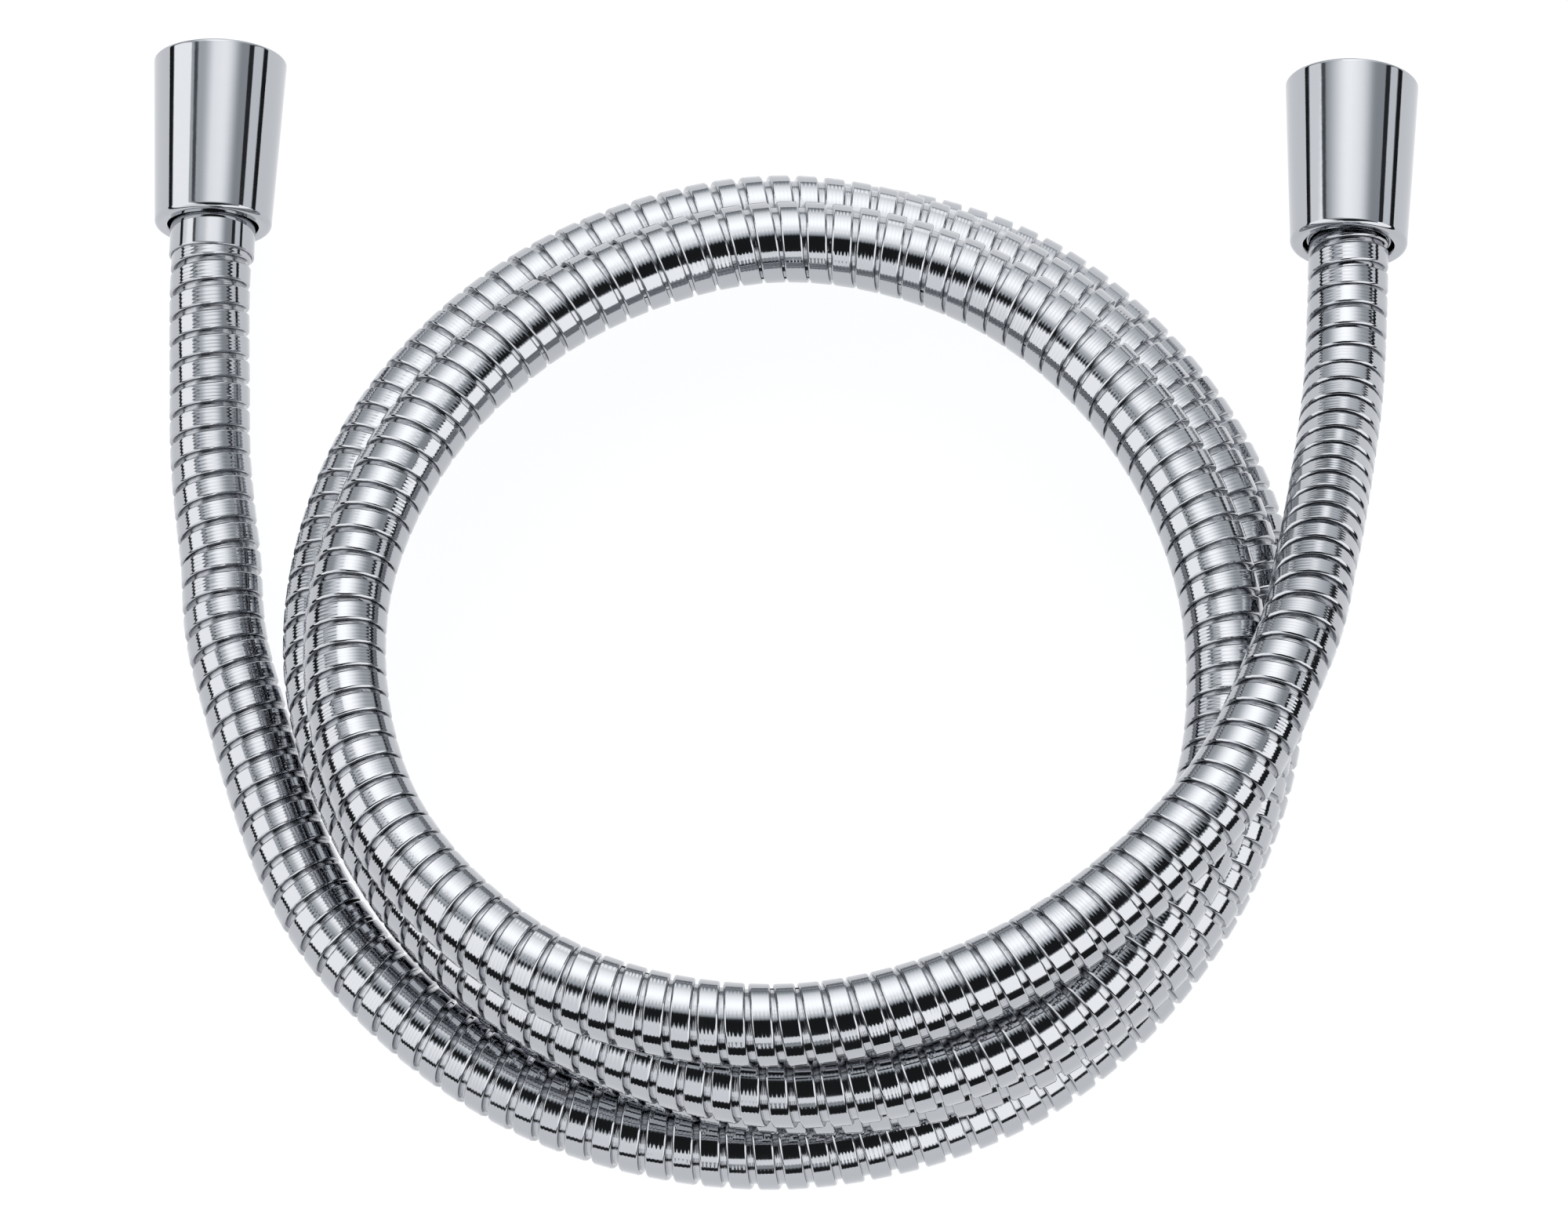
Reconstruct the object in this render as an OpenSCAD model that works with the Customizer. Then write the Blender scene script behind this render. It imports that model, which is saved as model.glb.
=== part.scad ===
// Chrome shower hose, nominal 2 m, wound steel armour over a rubber liner, with a conical
// G1/2 nut turning on each end. It lies on the floor as a loose coil of three and a half turns.
// Millimetres. +Z is up and the floor is z = 0. The coil opens along Z, both nuts point to +Y.

/* [Hose] */
// Outer diameter of the wound armour
hose_od = 14.2; // [13.8:0.1:14.2]
// Depth of the armour's folded strip, which is its wall
armour_wall = 0.8; // [0.5:0.1:0.9]
// Outer diameter of the rubber liner
liner_od = 10.6; // [10.2:0.1:10.6]
// Wall of the rubber liner
liner_wall = 0.9; // [0.6:0.1:0.9]

/* [Nut] */
// Length of the conical nut
nut_length = 31.5; // [28:0.5:34]
// Outer diameter at the threaded wide end
nut_wide_od = 23.7; // [23.4:0.1:24.5]
// Outer diameter at the narrow end, where the hose comes out
nut_narrow_od = 20.8; // [20:0.1:22]
// Radius of the polished edges of the nut
nut_edge = 1; // [0.4:0.1:1.2]
// Bore of the narrow end, which runs over the ferrule
nut_bore = 16; // [15.8:0.1:17.4]
// Major diameter of the G1/2 thread, the bore of the socket
thread_major = 20.955; // [20.955]
// Length of the thread, from the nut's wide face
thread_length = 9.6; // [8:0.1:11]
// Depth from the nut's wide face to the shoulder
socket_depth = 15.7; // [15.7:0.1:17]

/* [End fittings] */
// Outer diameter of the crimped ferrule
ferrule_od = 15.1; // [15:0.1:15.2]
// Length of the left ferrule, which stands out of its nut
left_ferrule_length = 18.7; // [14:0.1:20]
// Length of the right ferrule, which ends just inside its nut
right_ferrule_length = 12; // [10:0.5:18]
// Outer diameter of the insert's flange
flange_od = 18.2; // [17.6:0.1:18.3]
// Thickness of the flange
flange_thick = 2.5; // [1.5:0.1:3]
// Waterway through the insert
insert_bore = 6; // [5:0.1:6.4]
// Thickness of the slip ring on the nut's shoulder
slip_thick = 1; // [0.6:0.1:1]
// Thickness of the flat sealing washer
washer_thick = 2; // [1:0.1:2]
// Length of the clamp ring on the liner
clamp_length = 8; // [5:0.5:9]

/* [Hidden] */

// Fits
loose_fit = 0.1;          // radial and axial, where two pieces slide on each other
free_fit = 0.4;           // radial, round the slip ring and the flange
bite = 0.05;              // radial, where a crimp or a barb grips
lip_thick = 0.5;          // rolled lip of the ferrule behind the insert's collar
chamfer = 0.4;            // at the mouth of the threaded socket

// Lengths along the axis of an end. Its station 0 is the ferrule's hose end, and they run outwards.
collar_length = 6;        // of the insert, held in the ferrule
neck_length = 4;          // of the insert, between the ferrule and the flange
shank_length = 12;        // of the insert, in the hose
function armour_stop(ferrule) = ferrule - lip_thick - collar_length;
function flange_start(ferrule) = ferrule + neck_length;

// The nut, from its narrow face
shoulder_at = nut_length - socket_depth;
thread_at = nut_length - thread_length;
nut_reach = shoulder_at + slip_thick + 2 * loose_fit;   // from the narrow face to the flange

// Radii
armour_r = hose_od / 2;
armour_bore_r = armour_r - armour_wall;
liner_r = liner_od / 2;
liner_bore_r = liner_r - liner_wall;
ferrule_bore_r = armour_r - bite;
neck_r = 6.5;             // the insert between its collar and its flange
barb_r = 4.2;
shank_r = 3.8;
barb_pitch = 4;
clamp_r = 6;
washer_bore_r = 6;
washer_r = 9;
slip_r = flange_od / 2;
socket_r = slip_r + free_fit;                           // the plain bore behind the thread

// Ends of the hose: the point at station 0, the yaw of the outward axis from +Y to +X and its pitch
left_point = [-101.55, 66.3, 10.15];
left_yaw = 1.4;
left_pitch = 2.6;
right_point = [99.7, 68.4, 12.4];
right_yaw = 2.4;
right_pitch = -1;

// The free ends of the route, from the left fitting to the coil and from the coil to the right one
left_run = [[-101.5, 44, 8.5], [-101, 28, 7.3], [-99, 11, 7.1]];
right_run = [[86, -22.5, 46.5], [91.5, -0.5, 37], [95.5, 22, 23.5], [98, 39.5, 15.5]];

// The coil: one row for each turn, with [radius, height] at every 30 degrees. It starts at the
// left, at a bearing of 180 degrees, and runs counterclockwise through the front.
coil_center = [-0.2, -12.5];
coil_start = 180;
coil_step = 30;
coil_turns = [
    [[95.5, 7.1], [90.5, 7.1], [87.5, 7.1], [85.5, 7.1], [84.5, 7.1], [83, 7.1],
     [84, 7.1], [86.5, 7.1], [88.5, 7.1], [87, 7.1], [84.5, 7.1], [81.5, 7.1]],
    [[78.5, 9.5], [76.5, 13], [77, 17.5], [80, 20.5], [83.5, 21.5], [84, 21.5],
     [81.5, 21.5], [80.5, 21], [81, 21], [82, 21.5], [81, 21.5], [80.5, 22]],
    [[79.5, 24], [78.5, 27.5], [80, 32], [83.5, 35], [84.5, 36], [81, 36],
     [75.5, 35], [72.5, 34], [72, 33.5], [72, 33], [71, 32.5], [72, 34]],
    [[75, 38], [78, 42.5], [78.5, 46.5], [77.5, 49], [77.5, 50.5], [81.5, 51]]
];

function axis_of(yaw, pitch) = [sin(yaw) * cos(pitch), cos(yaw) * cos(pitch), sin(pitch)];
function stations(point, yaw, pitch, places) = [for (s = places) point + s * axis_of(yaw, pitch)];

coil_spots = [for (turn = coil_turns) for (spot = turn) spot];
coil = [for (i = [0 : len(coil_spots) - 1])
    let (bearing = coil_start + i * coil_step, spot = coil_spots[i])
    [coil_center[0] + spot[0] * cos(bearing), coil_center[1] + spot[0] * sin(bearing), spot[1]]];
left_stop = armour_stop(left_ferrule_length);
right_stop = armour_stop(right_ferrule_length);
route = concat(stations(left_point, left_yaw, left_pitch, [left_stop, 1, -8]), left_run, coil,
               right_run, stations(right_point, right_yaw, right_pitch, [-13, -4, right_stop]));

// A Catmull-Rom curve through the route: u counts its points
function route_point(i) = i < 0 ? 2 * route[0] - route[1]
    : i >= len(route) ? 2 * route[len(route) - 1] - route[len(route) - 2] : route[i];
function blend(a, b, c, d, t) = (2 * b + (c - a) * t + (2 * a - 5 * b + 4 * c - d) * t * t
    + (3 * b - a - 3 * c + d) * t * t * t) / 2;
function blend_slope(a, b, c, d, t) = ((c - a) + 2 * (2 * a - 5 * b + 4 * c - d) * t
    + 3 * (3 * b - a - 3 * c + d) * t * t) / 2;
function piece_of(u) = min(floor(u + 1e-6), len(route) - 2);
function on_route(u) = let (i = piece_of(u))
    blend(route_point(i - 1), route_point(i), route_point(i + 1), route_point(i + 2), u - i);
function heading(u) = let (i = piece_of(u),
    h = blend_slope(route_point(i - 1), route_point(i), route_point(i + 1), route_point(i + 2), u - i))
    h / norm(h);

// One ring of a swept tube: its sides are measured from the vertical plane of the route
function ring(u, r, sides) = let (c = on_route(u), h = heading(u),
    across = cross(h, [0, 0, 1]) / norm(cross(h, [0, 0, 1])), over = cross(across, h))
    [for (k = [0 : sides - 1]) c + r * (cos((k + 0.5) * 360 / sides) * across
        + sin((k + 0.5) * 360 / sides) * over)];

ring_step = 2 / 3;        // three rings for every two points, so that rings of the turns line up
ring_count = round((len(route) - 1) / ring_step) + 1;

// A hollow tube along the whole route, as one closed mesh
module swept_tube(outer_r, inner_r, sides) {
    outside = [for (i = [0 : ring_count - 1]) each ring(i * ring_step, outer_r, sides)];
    inside = [for (i = [0 : ring_count - 1]) each ring(i * ring_step, inner_r, sides)];
    inner = len(outside);
    last = (ring_count - 1) * sides;
    walls = [for (i = [0 : ring_count - 2]) for (k = [0 : sides - 1])
        let (a = i * sides + k, b = i * sides + (k + 1) % sides)
        each [[a, a + sides, b], [b, a + sides, b + sides],
              [inner + a, inner + b, inner + a + sides],
              [inner + b, inner + b + sides, inner + a + sides]]];
    ends = [for (k = [0 : sides - 1]) let (m = (k + 1) % sides)
        each [[k, m, inner + k], [m, inner + m, inner + k],
              [last + k, inner + last + k, last + m],
              [last + m, inner + last + k, inner + last + m]]];
    polyhedron(concat(outside, inside), concat(walls, ends));
}

// Quarter round from one direction to another, about the centre of an edge
function arc(center, r, from, to) = [for (i = [0 : 6])
    center + r * [cos(from + i * (to - from) / 6), sin(from + i * (to - from) / 6)]];

// A ring of square section, from station a to station b
module collar_ring(outer_r, inner_r, a, b) {
    translate([0, 0, a])
        rotate_extrude($fn = 96)
            translate([inner_r, 0])
                square([outer_r - inner_r, b - a]);
}

module at_left() {
    translate(left_point) rotate([left_pitch - 90, 0, -left_yaw]) children();
}

module at_right() {
    translate(right_point) rotate([right_pitch - 90, 0, -right_yaw]) children();
}

// Conical nut, turned from one bar: narrow bore, shoulder, plain socket and thread
module nut(ferrule) {
    narrow_r = nut_narrow_od / 2;
    wide_r = nut_wide_od / 2;
    bore_r = nut_bore / 2;
    thread_r = thread_major / 2;
    lip = nut_edge / 2;
    color("silver")
        translate([0, 0, flange_start(ferrule) - nut_reach])
            rotate_extrude($fn = 96)
                polygon(concat(
                    arc([bore_r + lip, lip], lip, 180, 270),
                    arc([narrow_r - nut_edge, nut_edge], nut_edge, 270, 360),
                    arc([wide_r - lip, nut_length - lip], lip, 0, 90),
                    [[thread_r + chamfer, nut_length],
                     [thread_r, nut_length - chamfer],
                     [thread_r, thread_at],
                     [socket_r, thread_at],
                     [socket_r, shoulder_at],
                     [bore_r, shoulder_at]]));
}

// Slip ring between the shoulder of the nut and the flange
module slip_ring(ferrule) {
    stop = flange_start(ferrule) - loose_fit;
    color("whitesmoke")
        collar_ring(slip_r, ferrule_od / 2 + loose_fit, stop - slip_thick, stop);
}

// Flat washer on the face of the flange
module washer(ferrule) {
    start = flange_start(ferrule) + flange_thick;
    color("dimgray")
        collar_ring(washer_r, washer_bore_r, start, start + washer_thick);
}

// Insert: barbed shank in the liner, collar in the ferrule, neck and flange
module insert(ferrule) {
    stop = armour_stop(ferrule);
    flange = flange_start(ferrule);
    start = stop - shank_length;
    barbs = [for (z = [start : barb_pitch : stop - barb_pitch])
        each [[shank_r, z], [barb_r, z + barb_pitch * 0.7], [shank_r, z + barb_pitch * 0.7]]];
    color("goldenrod")
        rotate_extrude($fn = 96)
            polygon(concat(
                [[insert_bore / 2, start]],
                barbs,
                [[shank_r, stop],
                 [armour_r - bite, stop],
                 [armour_r - bite, stop + collar_length],
                 [neck_r, stop + collar_length],
                 [neck_r, flange],
                 [flange_od / 2, flange],
                 [flange_od / 2, flange + flange_thick],
                 [insert_bore / 2, flange + flange_thick]]));
}

// Ferrule: sleeve crimped on the armour, round at its hose end, its lip rolled in behind the collar
module ferrule(length) {
    outer_r = ferrule_od / 2;
    edge = outer_r - ferrule_bore_r;
    color("gainsboro")
        rotate_extrude($fn = 96)
            polygon(concat(
                [[ferrule_bore_r, 0]],
                arc([outer_r - edge, edge], edge, 270, 360),
                [[outer_r, length],
                 [neck_r + loose_fit, length],
                 [neck_r + loose_fit, length - lip_thick],
                 [ferrule_bore_r, length - lip_thick]]));
}

// Clamp ring crimped round the liner, over the barbs
module liner_clamp(ferrule) {
    middle = armour_stop(ferrule) - shank_length / 2;
    color("darkgray")
        collar_ring(clamp_r, liner_r - bite, middle - clamp_length / 2, middle + clamp_length / 2);
}

module armour() {
    color("silver") swept_tube(armour_r, armour_bore_r, 12);
}

module liner() {
    color("dimgray") swept_tube(liner_r, liner_bore_r, 8);
}

armour();
liner();
at_left() nut(left_ferrule_length);  // left_nut
at_left() slip_ring(left_ferrule_length);  // left_slip_ring
at_left() washer(left_ferrule_length);  // left_washer
at_left() insert(left_ferrule_length);  // left_insert
at_left() ferrule(left_ferrule_length);  // left_ferrule
at_left() liner_clamp(left_ferrule_length);  // left_liner_clamp
at_right() nut(right_ferrule_length);  // right_nut
at_right() slip_ring(right_ferrule_length);  // right_slip_ring
at_right() washer(right_ferrule_length);  // right_washer
at_right() insert(right_ferrule_length);  // right_insert
at_right() ferrule(right_ferrule_length);  // right_ferrule
at_right() liner_clamp(right_ferrule_length);  // right_liner_clamp
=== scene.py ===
"""Chrome shower hose, 2 m: wound strip armour over a rubber liner, in a loose coil on the floor,
with a conical G1/2 nut captive on each end. Metres, in the frame of the CAD model: +Z is up, the
floor is z = 0 and both nuts open towards +Y."""

import bpy
import numpy as np
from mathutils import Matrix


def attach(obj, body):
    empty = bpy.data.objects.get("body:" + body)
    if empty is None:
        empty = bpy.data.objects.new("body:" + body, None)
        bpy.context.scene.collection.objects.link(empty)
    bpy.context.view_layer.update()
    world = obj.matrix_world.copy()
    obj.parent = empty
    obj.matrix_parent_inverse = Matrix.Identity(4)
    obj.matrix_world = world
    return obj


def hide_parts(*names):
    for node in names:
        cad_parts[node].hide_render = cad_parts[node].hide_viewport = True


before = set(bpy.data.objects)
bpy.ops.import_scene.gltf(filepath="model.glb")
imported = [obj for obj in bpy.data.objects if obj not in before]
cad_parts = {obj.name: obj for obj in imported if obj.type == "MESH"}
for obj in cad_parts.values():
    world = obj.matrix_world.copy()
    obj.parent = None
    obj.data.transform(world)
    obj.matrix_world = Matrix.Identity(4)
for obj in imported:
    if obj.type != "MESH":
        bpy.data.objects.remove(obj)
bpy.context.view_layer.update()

MM = 0.001

# ---------------------------------------------------------------- sizes, as in the CAD model
HOSE_R = 7.1 * MM
BITE = 0.05 * MM             # radial, where a crimp grips
LOOSE_FIT = 0.1 * MM         # radial, where two pieces slide on each other

FERRULE_R = 7.55 * MM
FERRULE_LIP = 0.5 * MM       # rolled in behind the collar of the insert

COLLAR_LENGTH = 6 * MM       # of the insert, held in the ferrule
NECK_R = 6.5 * MM
NECK_LENGTH = 4 * MM         # of the insert, between the ferrule and the flange
FLANGE_R = 9.1 * MM
FLANGE_THICK = 2.5 * MM
SHANK_LENGTH = 12 * MM       # of the insert, in the hose
SHANK_R = 3.8 * MM
BARBS = 3
BARB_R = 4.2 * MM
BARB_PITCH = 4 * MM
WATERWAY_R = 3 * MM

WASHER_BORE_R = 6 * MM
WASHER_R = 9 * MM
WASHER_THICK = 2 * MM

NUT_LENGTH = 31.5 * MM
NUT_REACH = 17 * MM          # from its narrow face to the flange
NUT_WIDE_R = 11.85 * MM
NUT_NARROW_R = 10.4 * MM
NUT_BORE_R = 8.0 * MM
SOCKET_R = 9.5 * MM
SHOULDER_AT = 15.8 * MM      # this and the next one are from its narrow face
THREAD_AT = 21.9 * MM
THREAD_R = 20.955 / 2 * MM
THREAD_PITCH = 25.4 / 14 * MM
THREAD_DEPTH = 1.16 * MM     # cut here only: CAD has the bore at its major diameter
MOUTH_CHAMFER = 0.4 * MM

# Each end, in millimetres and degrees: where its ferrule starts, the yaw of its axis from +Y to +X,
# the pitch of its axis, and the length of its ferrule
LEFT_END = dict(point=(-101.55, 66.3, 10.15), yaw=1.4, pitch=2.6, ferrule=18.7)
RIGHT_END = dict(point=(99.7, 68.4, 12.4), yaw=2.4, pitch=-1, ferrule=12)

# The route of the hose, in millimetres: two stations on the axis of each end, a run to the coil
# from each, and the coil as a radius and a height at every 30 degrees, counterclockwise from the
# left
LEFT_STRAIGHT = [1, -8]
RIGHT_STRAIGHT = [-13, -4]
LEFT_RUN = [(-101.5, 44, 8.5), (-101, 28, 7.3), (-99, 11, 7.1)]
RIGHT_RUN = [(86, -22.5, 46.5), (91.5, -0.5, 37), (95.5, 22, 23.5), (98, 39.5, 15.5)]
COIL_CENTRE = (-0.2, -12.5)
COIL_START, COIL_STEP = 180, 30
COIL = [
    (95.5, 7.1), (90.5, 7.1), (87.5, 7.1), (85.5, 7.1), (84.5, 7.1), (83, 7.1),
    (84, 7.1), (86.5, 7.1), (88.5, 7.1), (87, 7.1), (84.5, 7.1), (81.5, 7.1),
    (78.5, 9.5), (76.5, 13), (77, 17.5), (80, 20.5), (83.5, 21.5), (84, 21.5),
    (81.5, 21.5), (80.5, 21), (81, 21), (82, 21.5), (81, 21.5), (80.5, 22),
    (79.5, 24), (78.5, 27.5), (80, 32), (83.5, 35), (84.5, 36), (81, 36),
    (75.5, 35), (72.5, 34), (72, 33.5), (72, 33), (71, 32.5), (72, 34),
    (75, 38), (78, 42.5), (78.5, 46.5), (77.5, 49), (77.5, 50.5), (81.5, 51),
]
ROUTE_STEPS = 60             # points of the curve from one point of the route to the next


# ---------------------------------------------------------------- the ends and the route
def end_axes(end):
    """The axis of an end, pointing outwards, and two directions square to it."""
    yaw, pitch = np.radians(end["yaw"]), np.radians(end["pitch"])
    axis = np.array([np.sin(yaw) * np.cos(pitch), np.cos(yaw) * np.cos(pitch), np.sin(pitch)])
    side = np.array([np.cos(yaw), -np.sin(yaw), 0.0])
    return axis, side, np.cross(side, axis)


def armour_stop(end):
    """The station where the armour ends, against the collar that the ferrule's lip holds."""
    return end["ferrule"] * MM - FERRULE_LIP - COLLAR_LENGTH


def flange_start(end):
    """The station of the flange's inner face, a neck beyond the ferrule."""
    return end["ferrule"] * MM + NECK_LENGTH


def stations(end, places):
    """Points on the axis of an end, at distances from the ferrule's hose end, in millimetres."""
    return np.array(end["point"]) + np.outer(places, end_axes(end)[0])


def smooth_curve(points, steps):
    """Catmull-Rom curve: between two points it is the cubic that leaves and arrives along the line
    through each one's neighbours. The ends are mirrored."""
    p = np.vstack([2 * points[0] - points[1], points, 2 * points[-1] - points[-2]])
    a, b, c, d = (p[i:len(p) - 3 + i, None] for i in range(4))
    t = (np.arange(steps) / steps)[None, :, None]
    curve = (2 * b + (c - a) * t + (2 * a - 5 * b + 4 * c - d) * t**2
             + (3 * b - a - 3 * c + d) * t**3) / 2
    return np.vstack([curve.reshape(-1, 3), points[-1:]])


def hose_route():
    """The centre line of the hose from the left insert's collar to the right one's, in metres."""
    radius, height = np.array(COIL, float).T
    bearing = np.radians(COIL_START + COIL_STEP * np.arange(len(COIL)))
    coil = np.stack([COIL_CENTRE[0] + radius * np.cos(bearing),
                     COIL_CENTRE[1] + radius * np.sin(bearing), height], 1)
    left = stations(LEFT_END, [armour_stop(LEFT_END) / MM, *LEFT_STRAIGHT])
    right = stations(RIGHT_END, [*RIGHT_STRAIGHT, armour_stop(RIGHT_END) / MM])
    return smooth_curve(np.vstack([left, LEFT_RUN, coil, RIGHT_RUN, right]), ROUTE_STEPS) * MM


class Line:
    """A curve with its own length as the parameter: its points, its heading, which is smoothed a
    little, and its bend, which is the change of the heading for each metre."""

    TICK = 0.5 * MM              # between two stored points
    SPREAD = 6                   # ticks on each side that the heading is smoothed over

    def __init__(self, points):
        steps = np.linalg.norm(np.diff(points, axis=0), axis=1)
        ticks = np.concatenate([[0], np.cumsum(steps)])
        self.length = ticks[-1]
        self.ticks = np.linspace(0, self.length, int(self.length / self.TICK))
        self.points = np.stack([np.interp(self.ticks, ticks, points[:, k]) for k in range(3)], 1)
        heading = np.gradient(self.points, self.ticks, axis=0)
        soft = np.hanning(2 * self.SPREAD + 1)
        soft = soft / soft.sum()
        padded = np.pad(heading, ((self.SPREAD, self.SPREAD), (0, 0)), mode="edge")
        heading = np.stack([np.convolve(padded[:, k], soft, "valid") for k in range(3)], 1)
        self.heading = heading / np.linalg.norm(heading, axis=1)[:, None]
        self.bend = np.gradient(self.heading, self.ticks, axis=0)

    def at(self, values, distance):
        """The stored values at any distance along the line."""
        return np.stack([np.interp(distance, self.ticks, values[:, k]) for k in range(3)], -1)

    def place(self, distance, angle):
        """The point on the line, the unit vector square to it at that angle, and the bend there.
        The angle is measured from the side through the underside, which winds right-handed."""
        heading = self.at(self.heading, distance)
        side = np.cross(heading, (0.0, 0.0, 1.0))
        side /= np.linalg.norm(side, axis=-1, keepdims=True)
        over = np.cross(side, heading)
        out = np.cos(angle)[..., None] * side - np.sin(angle)[..., None] * over
        return self.at(self.points, distance), out, self.at(self.bend, distance)


# ---------------------------------------------------------------- surfaces from arrays
def grid_faces(rows, columns, wrap_rows=False, wrap_columns=False):
    """Quads of a grid whose vertex (row, column) has the number row * columns + column."""
    r = np.arange(rows if wrap_rows else rows - 1)[:, None]
    c = np.arange(columns if wrap_columns else columns - 1)[None, :]
    r2, c2 = (r + 1) % rows, (c + 1) % columns
    return np.stack([r * columns + c, r * columns + c2, r2 * columns + c2, r2 * columns + c],
                    -1).reshape(-1, 4)


def without_doubles(faces):
    """The quads whose four corners differ, and as triangles the ones with two neighbouring corners
    in one. The rest have no area and go."""
    single = faces != np.roll(faces, -1, axis=1)
    crossed = (faces[:, 0] == faces[:, 2]) | (faces[:, 1] == faces[:, 3])
    corners = np.where(crossed, 0, single.sum(1))
    thin = corners == 3
    return faces[corners == 4], faces[thin][single[thin]].reshape(-1, 3)


def new_piece(name, vertices, faces, material, body):
    """A smooth mesh from an array of vertices and a list of faces that point out, on a body."""
    mesh = bpy.data.meshes.new(name)
    mesh.from_pydata(vertices.reshape(-1, 3), [], faces)
    mesh.validate()
    mesh.polygons.foreach_set("use_smooth", np.ones(len(mesh.polygons), bool))
    mesh.materials.append(material)
    piece = bpy.data.objects.new(name, mesh)
    bpy.context.scene.collection.objects.link(piece)
    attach(piece, body)
    return piece


def arc(centre, radius, start, stop, count=9):
    """Points of an arc in a profile, as (radius from the axis, distance along it)."""
    a = np.radians(np.linspace(start, stop, count))
    return np.stack([centre[0] + radius * np.cos(a), centre[1] + radius * np.sin(a)], 1)


def held(profile, margin=0.12 * MM):
    """The closed profile with a point just inside each end of every side longer than five margins,
    so that the roundings beside it don't bend its reflections."""
    following = np.roll(profile, -1, axis=0)
    out = []
    for here, there in zip(profile, following):
        out.append(here)
        length = np.linalg.norm(there - here)
        if length > 5 * margin:
            inset = (there - here) * margin / length
            out += [here + inset, there - inset]
    return np.array(out)


def turned(name, end, start, profile, material, body, around=128, cut=None):
    """A solid of revolution: the closed profile of (radius, distance) carried round the axis of an
    end, from its station start. cut(angle, radius, distance) may change the radius."""
    axis, side, over = end_axes(end)
    angle = np.linspace(0, 2 * np.pi, around, endpoint=False)[:, None]
    radius = np.broadcast_to(profile[:, 0], (around, len(profile)))
    along = np.broadcast_to(profile[:, 1], radius.shape)
    if cut:
        radius = cut(angle, radius, along)
    origin = np.array(end["point"]) * MM
    out = np.cos(angle)[..., None] * side + np.sin(angle)[..., None] * over
    vertices = origin + (start + along)[..., None] * axis + radius[..., None] * out
    faces = grid_faces(around, len(profile), True, True).tolist()
    return new_piece(name, vertices, faces, material, body)


# ---------------------------------------------------------------- materials
# A noise of scale s has patches about 1 / s metres across, and a wave of scale s has bands
# 0.314 / s metres apart
CHROME = "#b3b5b9"           # the cool grey that chromium gives every reflection
WHITE = "#ffffff"


def linear(code):
    """The linear colour of an sRGB hex code."""
    value = np.array([int(code[i:i + 2], 16) for i in (1, 3, 5)]) / 255
    value = np.where(value <= 0.04045, value / 12.92, ((value + 0.055) / 1.055) ** 2.4)
    return tuple(value) + (1.0,)


def add(tree, kind, settings=None, **sockets):
    """One node: its settings by name, and its sockets by name, as a value or as another socket to
    link from. A socket's name has underscores for spaces, and s0, s1 is a socket by its number."""
    node = tree.nodes.new(kind)
    for name, value in (settings or {}).items():
        setattr(node, name, value)
    for name, value in sockets.items():
        numbered = name[0] == "s" and name[1:].isdigit()
        socket = node.inputs[int(name[1:]) if numbered else name.replace("_", " ")]
        if isinstance(value, bpy.types.NodeSocket):
            tree.links.new(value, socket)
        else:
            socket.default_value = value
    return node


def new_material(name):
    """An empty node material, its tree and its output node."""
    material = bpy.data.materials.new(name)
    material.use_nodes = True
    material.node_tree.nodes.clear()
    return material, material.node_tree, material.node_tree.nodes.new("ShaderNodeOutputMaterial")


def finish_material(tree, output, shader):
    tree.links.new(shader.outputs[0], output.inputs["Surface"])


def buffed_chrome():
    """Bright chromium plate on turned brass, buffed before plating: a cool grey mirror with the
    faint waviness that a buffing mop leaves, 3 mm from crest to crest, and hazier patches of
    7 mm."""
    material, tree, output = new_material("buffed chromium plate on turned brass")
    place = add(tree, "ShaderNodeTexCoord").outputs["Object"]
    waves = add(tree, "ShaderNodeTexNoise", Vector=place, Scale=330.0, Detail=2.0)
    haze = add(tree, "ShaderNodeTexNoise", Vector=place, Scale=140.0, Detail=4.0)
    rough = add(tree, "ShaderNodeMapRange", Value=haze.outputs["Fac"], From_Min=0.35, From_Max=0.7,
                To_Min=0.035, To_Max=0.075)
    bump = add(tree, "ShaderNodeBump", Strength=0.25, Distance=0.02 * MM,
               Height=waves.outputs["Fac"])
    shader = add(tree, "ShaderNodeBsdfPrincipled", Base_Color=linear(CHROME), Metallic=1.0,
                 Roughness=rough.outputs["Result"], Normal=bump.outputs["Normal"])
    finish_material(tree, output, shader)
    return material


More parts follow.
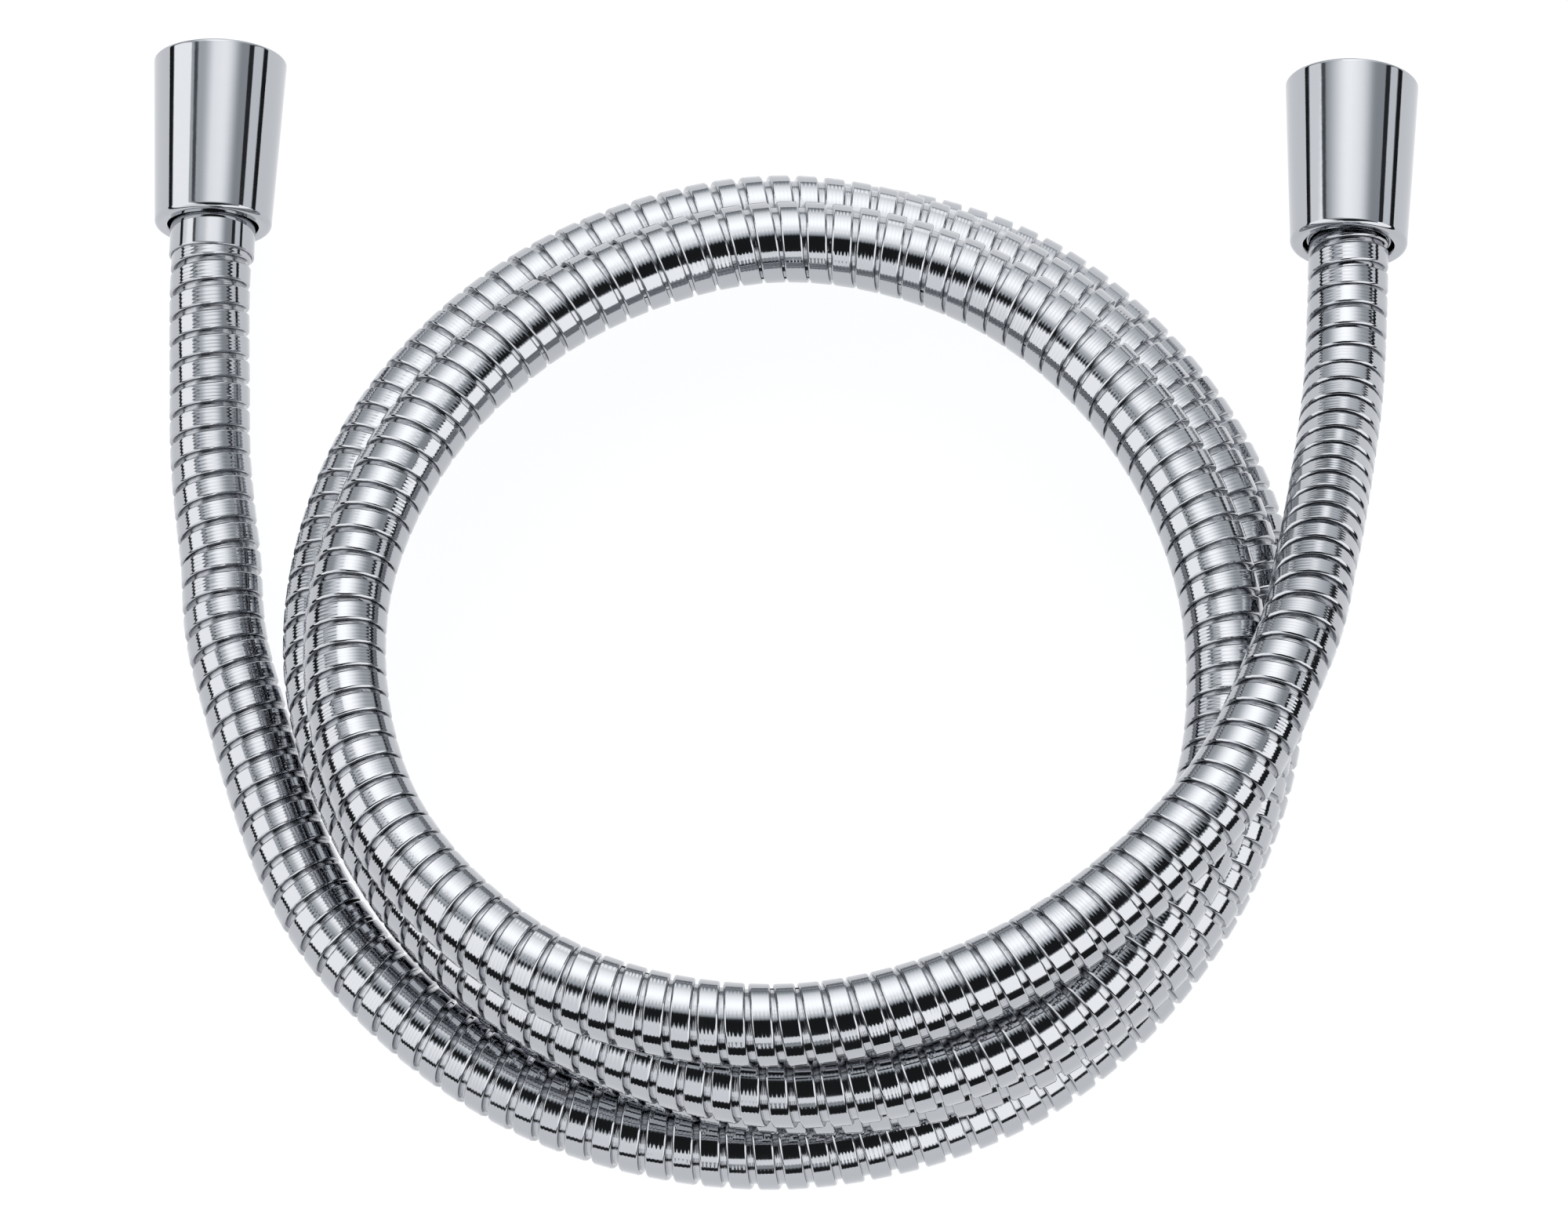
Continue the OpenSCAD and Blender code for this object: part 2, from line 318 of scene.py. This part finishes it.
def rolled_strip_chrome():
    """Chromium plated steel strip, rolled to its profile and wound: a mirror with rolling lines
    along the strip, 0.65 mm apart with finer ones between, hazier patches of 6 mm, and painted
    shade on the walls of the groove where one winding hooks into the next, its colour mixed
    towards near black. The attribute strip holds the place along the strip, the place across it,
    and how much painted shade the seam gets there."""
    material, tree, output = new_material("rolled strip, chromium plated and wound")
    strip = add(tree, "ShaderNodeAttribute", {"attribute_name": "strip"}).outputs["Vector"]
    painted_shade_amount = add(tree, "ShaderNodeSeparateXYZ", Vector=strip).outputs["Z"]
    stretched = add(tree, "ShaderNodeVectorMath", {"operation": "MULTIPLY"}, s0=strip,
                    s1=(60.0, 480.0, 0.0)).outputs["Vector"]
    waves = add(tree, "ShaderNodeTexWave", {"wave_type": "BANDS", "bands_direction": "Y"},
                Vector=stretched, Scale=1.0, Distortion=4.0, Detail=1.0)
    finer = add(tree, "ShaderNodeTexNoise", Vector=stretched, Scale=2.5, Detail=2.0)
    lines = add(tree, "ShaderNodeMath", {"operation": "ADD"}, s0=waves.outputs["Fac"],
                s1=finer.outputs["Fac"])
    place = add(tree, "ShaderNodeTexCoord").outputs["Object"]
    haze = add(tree, "ShaderNodeTexNoise", Vector=place, Scale=160.0, Detail=3.0)
    rough = add(tree, "ShaderNodeMapRange", Value=haze.outputs["Fac"], From_Min=0.3, From_Max=0.7,
                To_Min=0.05, To_Max=0.11)
    # Painted shade at the seam: the colour goes up to 0.3 of the way to near black on the groove's
    # walls
    seam_shade = add(tree, "ShaderNodeMapRange", Value=painted_shade_amount, From_Min=0.3, From_Max=1.0,
               To_Min=0.0, To_Max=0.3)
    colour = add(tree, "ShaderNodeMix", {"data_type": "RGBA"}, s0=seam_shade.outputs["Result"],
                 s6=linear(CHROME), s7=linear("#1b1c20"))
    bump = add(tree, "ShaderNodeBump", Strength=1.0, Distance=0.01 * MM, Height=lines.outputs[0])
    shader = add(tree, "ShaderNodeBsdfPrincipled", Base_Color=colour.outputs[2], Metallic=1.0,
                 Roughness=rough.outputs["Result"], Normal=bump.outputs["Normal"])
    finish_material(tree, output, shader)
    return material


def lathe_turned_brass():
    """Brass left as the lathe tool cut it: warm yellow, with the rings of the tool as a fine ripple
    and a duller tarnish in patches of 4 mm. The rings are drawn 0.4 mm apart so that they show:
    the tool's own are about 0.1 mm apart."""
    material, tree, output = new_material("turned brass, unplated")
    place = add(tree, "ShaderNodeTexCoord").outputs["Object"]
    rings = add(tree, "ShaderNodeTexWave", {"wave_type": "BANDS", "bands_direction": "Y"},
                Vector=place, Scale=800.0, Distortion=0.4)
    tarnish = add(tree, "ShaderNodeTexNoise", Vector=place, Scale=260.0, Detail=5.0)
    colour = add(tree, "ShaderNodeMix", {"data_type": "RGBA"}, s0=tarnish.outputs["Fac"],
                 s6=linear("#d8b866"), s7=linear("#b08a45"))
    rough = add(tree, "ShaderNodeMapRange", Value=tarnish.outputs["Fac"], To_Min=0.18, To_Max=0.42)
    bump = add(tree, "ShaderNodeBump", Strength=0.2, Distance=0.02 * MM,
               Height=rings.outputs["Fac"])
    shader = add(tree, "ShaderNodeBsdfPrincipled", Base_Color=colour.outputs[2], Metallic=1.0,
                 Roughness=rough.outputs["Result"], Normal=bump.outputs["Normal"])
    finish_material(tree, output, shader)
    return material


def crimped_steel():
    """Zinc-bright steel strip, rolled and crimped: grey, with duller patches of 2 mm."""
    material, tree, output = new_material("crimped steel strip")
    place = add(tree, "ShaderNodeTexCoord").outputs["Object"]
    patches = add(tree, "ShaderNodeTexNoise", Vector=place, Scale=500.0, Detail=4.0)
    rough = add(tree, "ShaderNodeMapRange", Value=patches.outputs["Fac"], To_Min=0.25, To_Max=0.5)
    shader = add(tree, "ShaderNodeBsdfPrincipled", Base_Color=linear("#9c9da0"), Metallic=1.0,
                 Roughness=rough.outputs["Result"])
    finish_material(tree, output, shader)
    return material


def plain_polymer(name, colour, dark, scale, roughness, grain):
    """Rubber or plastic as it leaves the tool: two shades of one colour in patches, and a slight
    bump with a grain eight times finer than the patches."""
    material, tree, output = new_material(name)
    place = add(tree, "ShaderNodeTexCoord").outputs["Object"]
    patches = add(tree, "ShaderNodeTexNoise", Vector=place, Scale=scale, Detail=5.0)
    mixed = add(tree, "ShaderNodeMix", {"data_type": "RGBA"}, s0=patches.outputs["Fac"],
                s6=linear(colour), s7=linear(dark))
    fine = add(tree, "ShaderNodeTexNoise", Vector=place, Scale=scale * 8, Detail=3.0)
    bump = add(tree, "ShaderNodeBump", Strength=grain, Distance=0.03 * MM,
               Height=fine.outputs["Fac"])
    shader = add(tree, "ShaderNodeBsdfPrincipled", Base_Color=mixed.outputs[2], IOR=1.5,
                 Roughness=roughness, Normal=bump.outputs["Normal"])
    finish_material(tree, output, shader)
    return material


# ---------------------------------------------------------------- studio
def studio_camera():
    """A long lens, 1.67 m from the coil and 69 degrees above the floor, in front."""
    camera = bpy.data.cameras.new("camera")
    camera.sensor_width, camera.lens = 36.0, 217.8
    camera.clip_start, camera.clip_end = 0.05, 50.0
    holder = bpy.data.objects.new("camera", camera)
    holder.location = (-0.2 * MM, -594.8 * MM, 1555.4 * MM)
    holder.rotation_euler = (np.radians(90 - 69), 0, 0)
    bpy.context.scene.collection.objects.link(holder)
    bpy.context.scene.camera = holder


def studio_floor():
    """A round table top covered in white paper, 0.8 m across, with the hose near its front. The
    camera, mirrors and glass see it lit from beneath, which whitens it and keeps a fifth of the
    shadow of the hose."""
    table_r, set_back, sides = 0.4, 0.16, 96
    lit_share = 0.8
    material, tree, output = new_material("white paper floor")
    paper = add(tree, "ShaderNodeBsdfDiffuse", Color=linear("#e8e8e8"))
    lit = add(tree, "ShaderNodeEmission", Color=linear("#fcfdff"), Strength=1.18)
    path = add(tree, "ShaderNodeLightPath")
    seen = add(tree, "ShaderNodeMath", {"operation": "MAXIMUM"}, s0=path.outputs["Is Camera Ray"],
               s1=path.outputs["Is Glossy Ray"])
    seen = add(tree, "ShaderNodeMath", {"operation": "MAXIMUM"}, s0=seen.outputs[0],
               s1=path.outputs["Is Transmission Ray"])
    share = add(tree, "ShaderNodeMath", {"operation": "MULTIPLY"}, s0=seen.outputs[0],
                s1=lit_share)
    finish_material(tree, output, add(tree, "ShaderNodeMixShader", s0=share.outputs[0],
                                      s1=paper.outputs[0], s2=lit.outputs[0]))
    angle = np.linspace(0, 2 * np.pi, sides, endpoint=False)
    rim = np.stack([table_r * np.cos(angle), table_r * np.sin(angle) + set_back, 0 * angle], 1)
    mesh = bpy.data.meshes.new("floor")
    mesh.from_pydata(rim, [], [list(range(sides))])
    mesh.materials.append(material)
    floor = bpy.data.objects.new("floor", mesh)
    bpy.context.scene.collection.objects.link(floor)


def within(tree, position, sides):
    """1 inside a flat shape with straight sides, and 0 outside. A side is the bearing of its
    outward normal, its distance from the middle of the map, and how far it fades to either side of
    that, all in degrees."""
    mask = 1.0
    for bearing, distance, soft in sides:
        normal = (np.cos(np.radians(bearing)), np.sin(np.radians(bearing)), 0.0)
        along = add(tree, "ShaderNodeVectorMath", {"operation": "DOT_PRODUCT"}, s0=position,
                    s1=normal).outputs["Value"]
        side = add(tree, "ShaderNodeMapRange", {"interpolation_type": "SMOOTHSTEP"}, Value=along,
                   From_Min=distance - soft, From_Max=distance + soft, To_Min=1.0, To_Max=0.0)
        mask = add(tree, "ShaderNodeMath", {"operation": "MULTIPLY"}, s0=side.outputs["Result"],
                   s1=mask).outputs[0]
    return mask


def glow(tree, position, centre, size, reach):
    """1 at the centre of an ellipse, fading smoothly to 0 at its edge. Its half axes are the reach
    times each number of the size, in degrees."""
    squeeze = (1 / size[0], 1 / size[1], 0.0)
    squeezed = add(tree, "ShaderNodeVectorMath", {"operation": "MULTIPLY"}, s0=position,
                   s1=squeeze).outputs["Vector"]
    away = add(tree, "ShaderNodeVectorMath", {"operation": "DISTANCE"}, s0=squeezed,
               s1=(centre[0] * squeeze[0], centre[1] * squeeze[1], 0.0)).outputs["Value"]
    return add(tree, "ShaderNodeMapRange", {"interpolation_type": "SMOOTHSTEP"}, Value=away,
               From_Min=0.0, From_Max=reach, To_Min=1.0, To_Max=0.0).outputs["Result"]


def walls_and_lamps(tree, place):
    """The brightness of the walls, and of what stands before them, at a place on the flat map."""
    walls = 0.5
    left_lamp = [(21, -36, 0.8), (53, -10.7, 0.7), (90, 28, 1)]
    # Each layer covers the ones above it in this list: where it lies, and its brightness
    layers = [
        # The big lamp behind, with its bright middle, and the strip lamp overhead
        (glow(tree, place, (8, 62), (1.8, 1.0), 46), 1.15),
        (glow(tree, place, (-4, 37), (1.0, 1.0), 50), 2.2),
        (glow(tree, place, (11, 15), (1.6, 0.5), 20), 1.7),
        # The dim lower part of the wall behind, and a small lamp that stands before it
        (within(tree, place, [(270, -81, 9)]), 0.4),
        (glow(tree, place, (16, 80), (1.0, 0.8), 18), 1.85),
        # The dim panel to the left of the strip lamp, and the light and the dark strip behind it
        (within(tree, place, [(90, 19, 2), (270, 4, 3), (0, -16, 12), (180, 50, 1)]), 0.75),
        (within(tree, place, [(90, 38, 1), (270, -32, 1), (0, -20, 4), (180, 70, 1)]), 1.2),
        (within(tree, place, [(90, 31, 1), (270, -26.5, 1), (0, -18, 3), (180, 46, 1)]), 0.45),
        # In front: the dark floor of the room, and the lamp above it
        (within(tree, place, [(90, -77, 1.5), (0, 30, 2), (180, 30, 2)]), 0.03),
        (within(tree, place, [(90, -36, 0.7), (270, 66, 1), (0, 22, 1), (180, 22, 1)]), 1.35),
        # Nearly overhead, in front: the grey rim and the black inside of a lens hood
        (within(tree, place, [(90, 0.5, 3), (204, 33, 1.5), (-46, 42, 1.5), (270, 38, 1)]), 0.38),
        (within(tree, place, [(90, -3, 2), (204, 31, 0.7), (-46, 40, 0.7), (270, 50, 1)]), 0.02),
        # The lamp to the left, brighter towards the front, its far part and its dark frame
        (within(tree, place, left_lamp), 1.27),
        (within(tree, place, left_lamp + [(-60, 8, 16)]), 1.7),
        (within(tree, place, [(90, 38, 1), (270, -27, 1), (0, -54, 0.7), (180, 84, 1)]), 1.27),
        (within(tree, place, [(53, -7.4, 0.7), (233, 10.7, 0.7), (180, 56, 1),
                              (270, -8, 1)]), 0.12),
        # The lamp to the right and the one in front of it
        (within(tree, place, [(180, -53, 0.8), (90, 16, 1), (270, 12, 1)]), 1.8),
        (within(tree, place, [(131, -43, 0.8), (180, -15, 1.5), (90, -4, 1),
                              (270, 73, 3)]), 1.75),
        # The panel to the right behind: its dark frame and its light face
        (within(tree, place, [(-25.5, 100, 1), (154.5, -40.2, 0.7), (90, 42, 2),
                              (270, -12, 0.7)]), 0.04),
        (within(tree, place, [(-25.5, 62, 0.7), (154.5, -47.8, 0.7), (90, 42, 2),
                              (270, -13, 0.7)]), 1.05),
    ]
    level = walls
    for mask, brightness in layers:
        level = add(tree, "ShaderNodeMix", {"data_type": "FLOAT"}, s0=mask, s2=level,
                    s3=brightness).outputs[0]
    return level


def studio_light():
    """Light from all round. The walls and lamps are drawn on a flat map of the sky above the hose:
    overhead is its middle, a place on it lies as many degrees from the middle as it stands from
    overhead, +X is to the right and +Y is up. Round the foot of the walls and below the table it
    is dark. The walls are a little bluer than the lamps. What the camera itself sees is white."""
    world = bpy.data.worlds.new("studio")
    bpy.context.scene.world = world
    world.use_nodes = True
    tree = world.node_tree
    tree.nodes.clear()
    direction = add(tree, "ShaderNodeTexCoord").outputs["Generated"]
    height = add(tree, "ShaderNodeSeparateXYZ", Vector=direction).outputs["Z"]
    polar = add(tree, "ShaderNodeMath", {"operation": "ARCCOSINE"}, s0=height).outputs[0]
    polar = add(tree, "ShaderNodeMath", {"operation": "DEGREES"}, s0=polar).outputs[0]
    flat = add(tree, "ShaderNodeVectorMath", {"operation": "MULTIPLY"}, s0=direction,
               s1=(1.0, 1.0, 0.0)).outputs["Vector"]
    flat = add(tree, "ShaderNodeVectorMath", {"operation": "NORMALIZE"}, s0=flat).outputs["Vector"]
    place = add(tree, "ShaderNodeVectorMath", {"operation": "SCALE"}, s0=flat,
                Scale=polar).outputs["Vector"]
    level = walls_and_lamps(tree, place)

    # The dark foot of the walls starts at 81.5 degrees from overhead, and is full at 85. Behind the
    # hose it is up to 8 degrees lower and less dark.
    behind = add(tree, "ShaderNodeSeparateXYZ", Vector=place).outputs["Y"]
    lower = add(tree, "ShaderNodeMapRange", Value=behind, From_Min=50.0, From_Max=75.0,
                To_Min=0.0, To_Max=8.0).outputs["Result"]
    raised = add(tree, "ShaderNodeMath", {"operation": "SUBTRACT"}, s0=polar, s1=lower).outputs[0]
    low = add(tree, "ShaderNodeMapRange", {"interpolation_type": "SMOOTHSTEP"}, Value=raised,
              From_Min=81.5, From_Max=85.0).outputs["Result"]
    foot = add(tree, "ShaderNodeMapRange", Value=behind, From_Min=50.0, From_Max=80.0,
               To_Min=0.02, To_Max=0.2).outputs["Result"]
    level = add(tree, "ShaderNodeMix", {"data_type": "FLOAT"}, s0=low, s2=level, s3=foot).outputs[0]

    seen = add(tree, "ShaderNodeLightPath").outputs["Is Camera Ray"]
    level = add(tree, "ShaderNodeMix", {"data_type": "FLOAT"}, s0=seen, s2=level, s3=1.0).outputs[0]
    bright = add(tree, "ShaderNodeMapRange", Value=level, From_Min=0.4, From_Max=1.6)
    colour = add(tree, "ShaderNodeMix", {"data_type": "RGBA"}, s0=bright.outputs["Result"],
                 s6=linear("#f1f8ff"), s7=linear(WHITE))
    colour = add(tree, "ShaderNodeMix", {"data_type": "RGBA"}, s0=seen, s6=colour.outputs[2],
                 s7=linear(WHITE))
    background = add(tree, "ShaderNodeBackground", Color=colour.outputs[2], Strength=level)
    output = tree.nodes.new("ShaderNodeOutputWorld")
    tree.links.new(background.outputs[0], output.inputs["Surface"])


# ---------------------------------------------------------------- the hose
STRIP_PITCH = 4.5 * MM
BAND = 3.6 * MM
GROOVE_DEPTH = 1.0 * MM
ROUNDING = 0.36 * MM         # of the band's edges
ROUNDING_MIDDLE = 0.11 * MM  # how far a rounding's middle is from both of the faces it joins
ARMOUR_BORE_R = 6.03 * MM    # just under the grooves, and clear of the clamp rings
CUT_R = HOSE_R - 0.3 * MM    # where the strip is cut off at each end of the hose
AROUND = 26                  # steps of a turn
BORE_STEP = 10 * MM

# Across the strip: the offset from the middle of the band, the depth, and how much painted shade
# the groove's walls get at the seam
STRIP_ROWS = [
    (-BAND / 2, GROOVE_DEPTH, 0.3),
    (-BAND / 2, ROUNDING, 1.0),
    (-BAND / 2 + ROUNDING_MIDDLE, ROUNDING_MIDDLE, 0.0),
    (-BAND / 2 + ROUNDING, 0.0, 0.0),
    (BAND / 2 - ROUNDING, 0.0, 0.0),
    (BAND / 2 - ROUNDING_MIDDLE, ROUNDING_MIDDLE, 0.0),
    (BAND / 2, ROUNDING, 1.0),
    (BAND / 2, GROOVE_DEPTH, 0.3),
]
CREASED_ROWS = [0, 3, 4, 7]


def wound_armour(line, material):
    """The armour as one strip wound right-handed: a profile carried along the hose while it turns.
    At the angle a, winding n lies at the distance pitch * (n + a / full turn). Across the strip the
    profile is a flat band with rounded edges, a wall down on each side of it, and the groove that
    joins it to the next band. The band keeps its width in a bend, and the groove takes up the rest:
    a step along the surface is a step along the hose times 1 minus the radius times the bend
    towards it."""
    windings = round(line.length / STRIP_PITCH)
    pitch = line.length / windings
    rows = len(STRIP_ROWS)
    offset, depth, seam_shade = np.array(STRIP_ROWS).T
    columns = np.arange(-AROUND, windings * AROUND + AROUND + 1)
    angle = np.broadcast_to((columns * 2 * np.pi / AROUND)[:, None], (len(columns), rows))
    base = (columns / AROUND)[:, None] * pitch
    radius = np.broadcast_to(HOSE_R - depth, angle.shape)
    _, out, bend = line.place(np.clip(base + offset, 0, line.length), angle)
    stretch = 1 - radius * (out * bend).sum(-1)
    distance = base + offset / stretch
    cut = (distance <= 0) | (distance >= line.length)
    distance = np.clip(distance, 0, line.length)
    radius = np.where(cut, CUT_R, radius)
    centre, out, _ = line.place(distance, angle)
    strip = (centre + radius[..., None] * out).reshape(-1, 3)

    # The strip's faces, and the grooves from its last row to the first row a turn further on. Past
    # an end of the hose, every vertex is the one on that end's rim at the same angle.
    number = np.arange(len(strip)).reshape(len(columns), rows)
    grooves = np.stack([number[:-AROUND - 1, -1], number[AROUND:-1, 0],
                        number[AROUND + 1:, 0], number[1:-AROUND, -1]], -1)
    near_rim, far_rim = len(strip), len(strip) + AROUND
    on_rim = np.where(distance >= line.length, far_rim, near_rim) + (columns % AROUND)[:, None]
    number = np.where(cut, on_rim, number).reshape(-1)
    strip_faces = number[np.vstack([grid_faces(len(columns), rows), grooves])]

    # The rims, and the bore as rings along the line, joined to both of them
    i = np.arange(AROUND)
    j = (i + 1) % AROUND
    turn = i * 2 * np.pi / AROUND
    rims = []
    for place in (0.0, line.length):
        centre, out, _ = line.place(np.full(AROUND, place), turn)
        rims.append(centre + CUT_R * out)
    rings = int(line.length / BORE_STEP)
    along = np.linspace(0, line.length, rings)
    centre, out, _ = line.place(np.repeat(along, AROUND), np.tile(turn, rings))
    bore = centre + ARMOUR_BORE_R * out
    first = len(strip) + 2 * AROUND
    last = first + (rings - 1) * AROUND
    bore_faces = grid_faces(rings, AROUND, False, True)[:, ::-1] + first
    near_end = np.stack([near_rim + i, near_rim + j, first + j, first + i], 1)
    far_end = np.stack([far_rim + j, far_rim + i, last + i, last + j], 1)

    vertices = np.vstack([strip, *rims, bore])
    quads, triangles = without_doubles(np.vstack([strip_faces, bore_faces, near_end, far_end]))
    used, index = np.unique(np.concatenate([quads.ravel(), triangles.ravel()]),
                            return_inverse=True)
    index = index.ravel()
    faces = (index[:quads.size].reshape(-1, 4).tolist()
             + index[quads.size:].reshape(-1, 3).tolist())
    piece = new_piece("wound_armour", vertices[used], faces, material, "hose")
    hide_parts("armour")

    # Creases run along the edges of the band's face and along the bottom of its walls
    mesh = piece.data
    row = np.full(len(vertices), rows)
    row[:len(strip)] = np.tile(np.arange(rows), len(columns))
    row = row[used]
    ends = np.empty(len(mesh.edges) * 2, int)
    mesh.edges.foreach_get("vertices", ends)
    one, other = row[ends.reshape(-1, 2)].T
    sharp = mesh.attributes.new("sharp_edge", "BOOLEAN", "EDGE")
    sharp.data.foreach_set("value", (one == other) & np.isin(one, CREASED_ROWS))

    # For the material: the place along the strip, the place across it and how much painted shade
    # the seam gets there
    note = np.zeros((len(vertices), 3))
    note[:len(strip), 0] = np.repeat(columns / AROUND * 2 * np.pi * HOSE_R, rows)
    note[:len(strip), 1] = np.tile(offset, len(columns))
    note[:len(strip), 2] = np.tile(seam_shade, len(columns))
    attribute = mesh.attributes.new("strip", "FLOAT_VECTOR", "POINT")
    attribute.data.foreach_set("vector", note[used].ravel())
    return piece


# ---------------------------------------------------------------- the end fittings
def threaded(angle, radius, along):
    """The radius with a G1/2 thread cut in the socket: rounded ridges that stand in from the major
    diameter by the thread's depth, one pitch apart for each turn, and fade out at both ends."""
    on_wall = np.abs(radius - THREAD_R) < 0.01 * MM
    phase = along / THREAD_PITCH + angle / (2 * np.pi)
    ridge = 0.5 - 0.5 * np.cos(2 * np.pi * phase)
    run_out = np.clip((along - THREAD_AT) / THREAD_PITCH, 0, 1)
    run_in = np.clip((NUT_LENGTH - MOUTH_CHAMFER - along) / (0.7 * THREAD_PITCH), 0, 1)
    return np.where(on_wall, radius - THREAD_DEPTH * ridge * run_out * run_in, radius)


def conical_nut(name, end, side, material):
    """Nut turned from one bar: rounded narrow mouth, straight taper, rounded wide end, and inside
    the thread, the plain socket behind it, the shoulder and the bore that runs over the ferrule."""
    lip, narrow_edge, wide_edge = 0.5 * MM, 1.0 * MM, 0.6 * MM
    taper = 3                # degrees from the axis to the side
    thread_rows = 70
    thread = np.linspace(NUT_LENGTH - MOUTH_CHAMFER, THREAD_AT, thread_rows)
    profile = np.vstack([
        arc((NUT_BORE_R + lip, lip), lip, 180, 270),
        arc((NUT_NARROW_R - narrow_edge, narrow_edge), narrow_edge, 270, 360 - taper, 12),
        arc((NUT_WIDE_R - wide_edge, NUT_LENGTH - wide_edge), wide_edge, taper, 90, 12),
        [(THREAD_R + MOUTH_CHAMFER, NUT_LENGTH)],
        np.stack([np.full(thread_rows, THREAD_R), thread], 1),
        [(SOCKET_R, THREAD_AT), (SOCKET_R, SHOULDER_AT), (NUT_BORE_R, SHOULDER_AT)],
    ])
    piece = turned(name, end, flange_start(end) - NUT_REACH, held(profile), material,
                   side + "_nut", cut=threaded)
    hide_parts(side + "_nut")
    return piece


def crimped_ferrule(name, end, side, material):
    """Sleeve crimped on the armour: its hose end is rolled to a round lip, and its other end is
    rolled in behind the collar of the insert."""
    bore = HOSE_R - BITE
    wall = FERRULE_R - bore
    edge = 0.3 * MM
    length = end["ferrule"] * MM
    profile = np.vstack([
        arc((bore + wall / 2, wall / 2), wall / 2, 180, 360, 11),
        arc((FERRULE_R - edge, length - edge), edge, 0, 90, 6),
        [(NECK_R + LOOSE_FIT, length), (NECK_R + LOOSE_FIT, length - FERRULE_LIP),
         (bore, length - FERRULE_LIP)],
    ])
    piece = turned(name, end, 0.0, held(profile), material, "hose")
    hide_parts(side + "_ferrule")
    return piece


def punched_washer(name, end, side, material):
    """Flat sealing washer punched from sheet rubber, on the face of the flange."""
    edge = 0.2 * MM
    inner, outer, top = WASHER_BORE_R + edge, WASHER_R - edge, WASHER_THICK - edge
    profile = np.vstack([
        arc((inner, edge), edge, 180, 270, 5),
        arc((outer, edge), edge, 270, 360, 5),
        arc((outer, top), edge, 0, 90, 5),
        arc((inner, top), edge, 90, 180, 5),
    ])
    piece = turned(name, end, flange_start(end) + FLANGE_THICK, held(profile), material,
                   "hose")
    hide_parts(side + "_washer")
    return piece


def turned_insert(name, end, side, material):
    """Insert turned from brass bar: barbed shank in the liner, collar in the ferrule, neck and
    flange, with the tool's small chamfer on the flange and at the mouth of the waterway."""
    chamfer = 0.25 * MM
    barb_slope = 0.7 * BARB_PITCH
    collar_r = HOSE_R - BITE
    collar = armour_stop(end)
    neck = collar + COLLAR_LENGTH
    flange = flange_start(end)
    face = flange + FLANGE_THICK
    profile = [(WATERWAY_R, collar - SHANK_LENGTH)]
    for foot in collar - SHANK_LENGTH + BARB_PITCH * np.arange(BARBS):
        profile += [(SHANK_R, foot), (BARB_R, foot + barb_slope), (SHANK_R, foot + barb_slope)]
    profile += [
        (SHANK_R, collar), (collar_r, collar), (collar_r, neck), (NECK_R, neck), (NECK_R, flange),
        (FLANGE_R - chamfer, flange), (FLANGE_R, flange + chamfer),
        (FLANGE_R, face - chamfer), (FLANGE_R - chamfer, face),
        (WATERWAY_R + chamfer, face), (WATERWAY_R, face - chamfer),
    ]
    piece = turned(name, end, 0.0, held(np.array(profile), 0.04 * MM), material,
                   "hose")
    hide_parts(side + "_insert")
    return piece


# ---------------------------------------------------------------- putting it together
studio_camera()

chrome = buffed_chrome()
strip_chrome = rolled_strip_chrome()
brass = lathe_turned_brass()
# Washers punched from sheet: black and matt
rubber = plain_polymer("cut sheet rubber", "#1f1f21", "#161617", scale=700.0, roughness=0.75,
                       grain=0.5)
line = Line(hose_route())
armour = wound_armour(line, strip_chrome)
fittings = []
for side, end in (("left", LEFT_END), ("right", RIGHT_END)):
    fittings += [conical_nut(side + "_nut_turned", end, side, chrome),
                 crimped_ferrule(side + "_ferrule_rolled", end, side, chrome),
                 turned_insert(side + "_insert_turned", end, side, brass),
                 punched_washer(side + "_washer_punched", end, side, rubber),
                 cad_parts[side + "_slip_ring"]]

finishes = {
    # Extruded tube: charcoal and matt
    "liner": plain_polymer("extruded rubber liner", "#26262a", "#1c1c1f", scale=400.0,
                           roughness=0.7, grain=0.4),
    # Injection moulded ring: milky white, with the satin of the mould
    "slip_ring": plain_polymer("moulded acetal", "#e9e8e2", "#dedcd4", scale=300.0,
                               roughness=0.35, grain=0.15),
    "liner_clamp": crimped_steel(),
}
for name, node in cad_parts.items():
    finish = finishes.get(name.replace("left_", "").replace("right_", ""))
    if finish:
        node.data.materials.clear()
        node.data.materials.append(finish)

studio_floor()
studio_light()
bpy.context.scene.view_settings.view_transform = "Standard"
